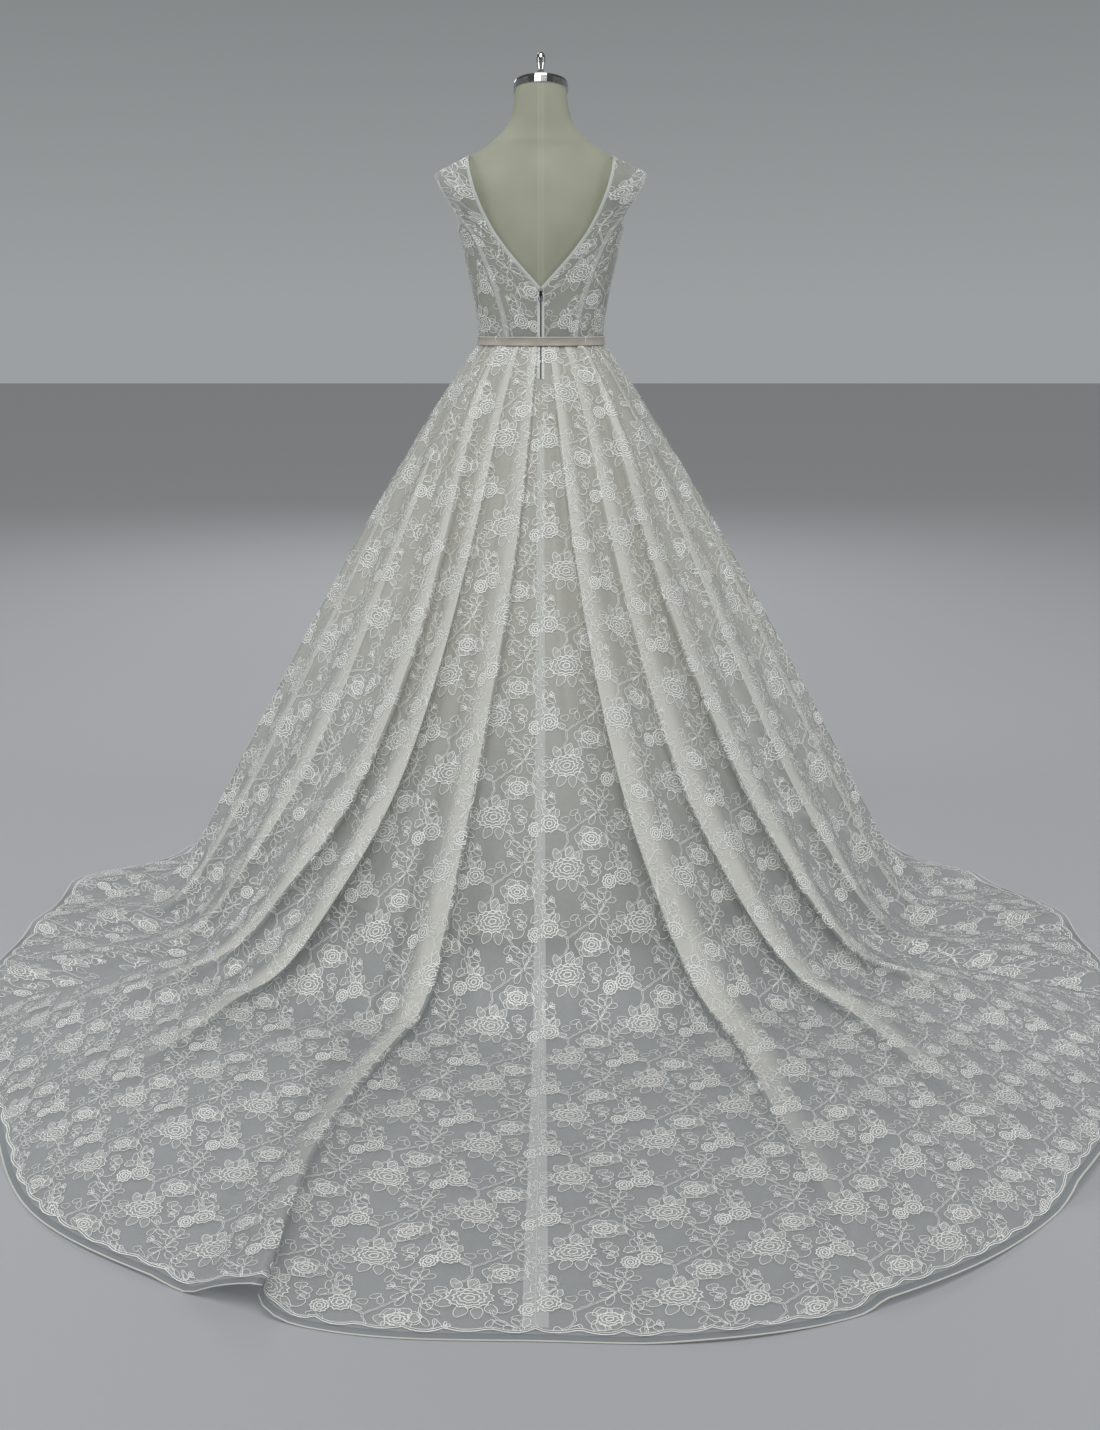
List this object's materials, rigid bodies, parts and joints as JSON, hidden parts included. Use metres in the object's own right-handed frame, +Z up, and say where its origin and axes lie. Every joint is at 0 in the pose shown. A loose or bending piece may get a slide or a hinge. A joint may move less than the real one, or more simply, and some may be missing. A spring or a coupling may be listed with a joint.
{
  "type": "wedding dress on dress form",
  "caption": "Lace wedding dress with a deep V back, cap sleeves, narrow satin belt, back zip and a long pleated skirt with a train, worn on a limbless dress form with a stand.",
  "frame": {"origin": "on the floor under the middle of the stand's base", "axes": "+Z up, the wearer faces -Y so the train runs out to +Y, and the wearer's left is +X"},
  "size_m": [1.9816, 2.2136, 1.6004],
  "materials": {
    "lace": "ivory corded floral lace on fine net",
    "organza": "sheer ivory-white underlayer",
    "lining": "close-woven cream lining",
    "satin": "pinkish ivory satin",
    "linen": "cream-beige linen cover",
    "steel": "polished steel",
    "dark_steel": "dark silver zip",
    "painted": "dark powder coat"
  },
  "bodies": {
    "dress_and_form": {"bodice_front": "lace", "bodice_side_front_left": "lace", "bodice_side_front_right": "lace", "bodice_side_back_left": "lace", "bodice_side_back_right": "lace", "bodice_back_left": "lace", "bodice_back_right": "lace", "neckline_binding": "lace", "armhole_binding_left": "lace", "armhole_binding_right": "lace", "skirt_side_right": "lace", "skirt_back_right": "lace", "skirt_back_left": "lace", "skirt_side_left": "lace", "skirt_front": "lace", "underskirt_side_right": "organza", "underskirt_back_right": "organza", "underskirt_back_left": "organza", "underskirt_side_left": "organza", "underskirt_front": "organza", "skirt_lining": "lining", "waist_belt": "satin", "zip_chain": "dark_steel", "zip_slider": "dark_steel", "form_torso": "linen", "form_neck_cap": "steel", "form_finial": "steel", "stand_pole": "steel", "stand_base": "painted"},
    "zip_pull": {"zip_pull": "steel"}
  },
  "joints": [
    {"name": "zip_pull_hinge", "type": "hinge", "parent": "dress_and_form", "child": "zip_pull", "pos_m": [0, 0.09973, 1.1665], "axis": [1, 0, 0], "range_deg": [0, 150]}
  ]
}
